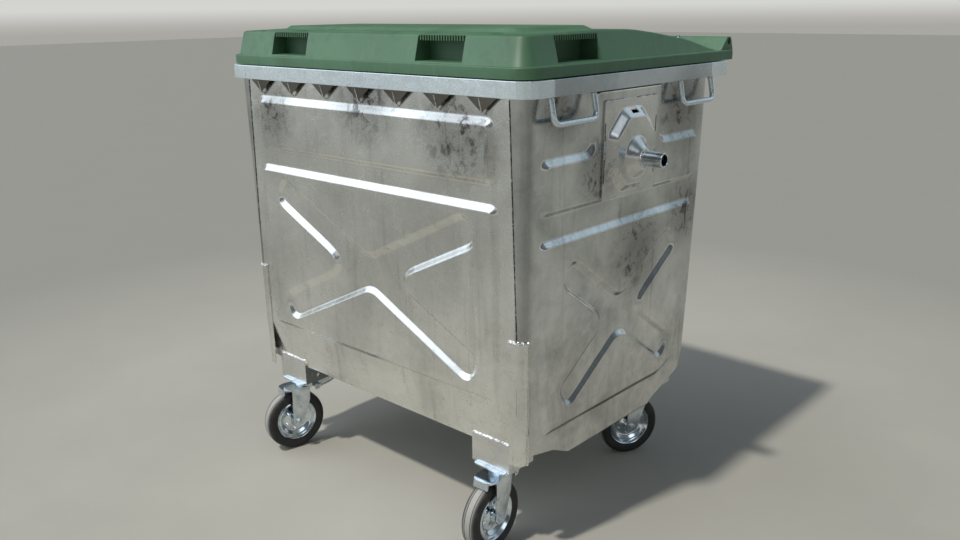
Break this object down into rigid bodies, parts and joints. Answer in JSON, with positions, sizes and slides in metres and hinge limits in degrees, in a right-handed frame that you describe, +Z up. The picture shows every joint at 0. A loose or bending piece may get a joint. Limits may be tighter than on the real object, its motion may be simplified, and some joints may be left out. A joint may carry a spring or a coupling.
{
  "type": "four-wheeled galvanised steel waste container",
  "caption": "Wheeled galvanised steel waste container: ribbed sheet tub, side trunnions, comb-lift rim, swivel casters and a hinged green plastic lid.",
  "frame": {"origin": "on the floor, under the middle of the overall bounding box", "axes": "+Z up, +X along the long wall to the right trunnion seen from the front, -Y towards the comb-lift front"},
  "size_m": [1.37, 1.0293, 1.372],
  "materials": {
    "galvanised_steel": "hot-dip galvanised, weathered, satin with blotches and drips",
    "zinc_plated_steel": "bright zinc plate, lightly dulled",
    "rubber_tyre": "matt black rubber, dusty grey tread",
    "green_plastic": "moulded polyethylene, satin, slightly bleached",
    "dark_plastic": "moulded, satin"
  },
  "bodies": {
    "container": {"front_panel": "galvanised_steel", "rear_panel": "galvanised_steel", "side_panel_right": "galvanised_steel", "side_panel_left": "galvanised_steel", "floor_pan": "galvanised_steel", "corner_sleeve_right": "galvanised_steel", "corner_sleeve_left": "galvanised_steel", "drain_spigot": "galvanised_steel", "rim_front": "galvanised_steel", "rim_rear": "galvanised_steel", "rim_left": "galvanised_steel", "rim_right": "galvanised_steel", "comb_gusset_1": "galvanised_steel", "comb_gusset_2": "galvanised_steel", "comb_gusset_3": "galvanised_steel", "comb_gusset_4": "galvanised_steel", "comb_gusset_5": "galvanised_steel", "comb_gusset_6": "galvanised_steel", "comb_gusset_7": "galvanised_steel", "handle_right_front": "galvanised_steel", "handle_right_rear": "galvanised_steel", "handle_left_front": "galvanised_steel", "handle_left_rear": "galvanised_steel", "trunnion_plate_right": "galvanised_steel", "trunnion_right": "galvanised_steel", "trunnion_plate_left": "galvanised_steel", "trunnion_left": "galvanised_steel", "caster_bracket_front_left": "galvanised_steel", "caster_bracket_rear_left": "galvanised_steel", "caster_bracket_front_right": "galvanised_steel", "caster_bracket_rear_right": "galvanised_steel", "caster_plate_front_left": "zinc_plated_steel", "caster_plate_front_right": "zinc_plated_steel", "caster_plate_rear_left": "zinc_plated_steel", "caster_plate_rear_right": "zinc_plated_steel", "hinge_rod": "zinc_plated_steel", "hinge_lug_left": "galvanised_steel", "hinge_lug_middle": "galvanised_steel", "hinge_lug_right": "galvanised_steel"},
    "lid": {"lid": "green_plastic"},
    "drain_plug": {"drain_plug": "dark_plastic"},
    "swivel_front_left": {"fork_front_left": "zinc_plated_steel", "axle_front_left": "zinc_plated_steel"},
    "wheel_front_left": {"wheel_rim_front_left": "zinc_plated_steel", "tyre_front_left": "rubber_tyre"},
    "brake_front_left": {"brake_pedal_front_left": "zinc_plated_steel"},
    "swivel_front_right": {"fork_front_right": "zinc_plated_steel", "axle_front_right": "zinc_plated_steel"},
    "wheel_front_right": {"wheel_rim_front_right": "zinc_plated_steel", "tyre_front_right": "rubber_tyre"},
    "brake_front_right": {"brake_pedal_front_right": "zinc_plated_steel"},
    "swivel_rear_left": {"fork_rear_left": "zinc_plated_steel", "axle_rear_left": "zinc_plated_steel"},
    "wheel_rear_left": {"wheel_rim_rear_left": "zinc_plated_steel", "tyre_rear_left": "rubber_tyre"},
    "swivel_rear_right": {"fork_rear_right": "zinc_plated_steel", "axle_rear_right": "zinc_plated_steel"},
    "wheel_rear_right": {"wheel_rim_rear_right": "zinc_plated_steel", "tyre_rear_right": "rubber_tyre"}
  },
  "joints": [
    {"name": "lid_hinge", "type": "hinge", "parent": "container", "child": "lid", "pos_m": [0, 0.4904, 1.314], "axis": [-1, 0, 0], "range_deg": [0, 270]},
    {"name": "drain_plug_turn", "type": "hinge", "parent": "container", "child": "drain_plug", "pos_m": [0.3, -0.0086, 0.235], "axis": [0, 0, 1], "range_deg": [0, 90]},
    {"name": "swivel_front_left", "type": "hinge", "parent": "container", "child": "swivel_front_left", "pos_m": [-0.437, -0.35859, 0.22], "axis": [0, 0, 1], "continuous": true},
    {"name": "wheel_spin_front_left", "type": "hinge", "parent": "swivel_front_left", "child": "wheel_front_left", "pos_m": [-0.44843, -0.41239, 0.1], "axis": [-0.9781, 0.2079, 0], "continuous": true},
    {"name": "brake_press_front_left", "type": "hinge", "parent": "swivel_front_left", "child": "brake_front_left", "pos_m": [-0.4318, -0.33414, 0.1995], "axis": [-0.9781, 0.2079, 0], "range_deg": [0, 14]},
    {"name": "swivel_front_right", "type": "hinge", "parent": "container", "child": "swivel_front_right", "pos_m": [0.437, -0.35859, 0.22], "axis": [0, 0, 1], "continuous": true},
    {"name": "wheel_spin_front_right", "type": "hinge", "parent": "swivel_front_right", "child": "wheel_front_right", "pos_m": [0.43988, -0.41352, 0.1], "axis": [-0.9986, -0.0523, 0], "continuous": true},
    {"name": "brake_press_front_right", "type": "hinge", "parent": "swivel_front_right", "child": "brake_front_right", "pos_m": [0.43569, -0.33363, 0.1995], "axis": [-0.9986, -0.0523, 0], "range_deg": [0, 14]},
    {"name": "swivel_rear_left", "type": "hinge", "parent": "container", "child": "swivel_rear_left", "pos_m": [-0.437, 0.34141, 0.22], "axis": [0, 0, 1], "continuous": true},
    {"name": "wheel_spin_rear_left", "type": "hinge", "parent": "swivel_rear_left", "child": "wheel_rear_left", "pos_m": [-0.46111, 0.29197, 0.1], "axis": [-0.8988, 0.4384, 0], "continuous": true},
    {"name": "swivel_rear_right", "type": "hinge", "parent": "container", "child": "swivel_rear_right", "pos_m": [0.437, 0.34141, 0.22], "axis": [0, 0, 1], "continuous": true},
    {"name": "wheel_spin_rear_right", "type": "hinge", "parent": "swivel_rear_right", "child": "wheel_rear_right", "pos_m": [0.41118, 0.29284, 0.1], "axis": [-0.8829, 0.4695, 0], "continuous": true}
  ]
}
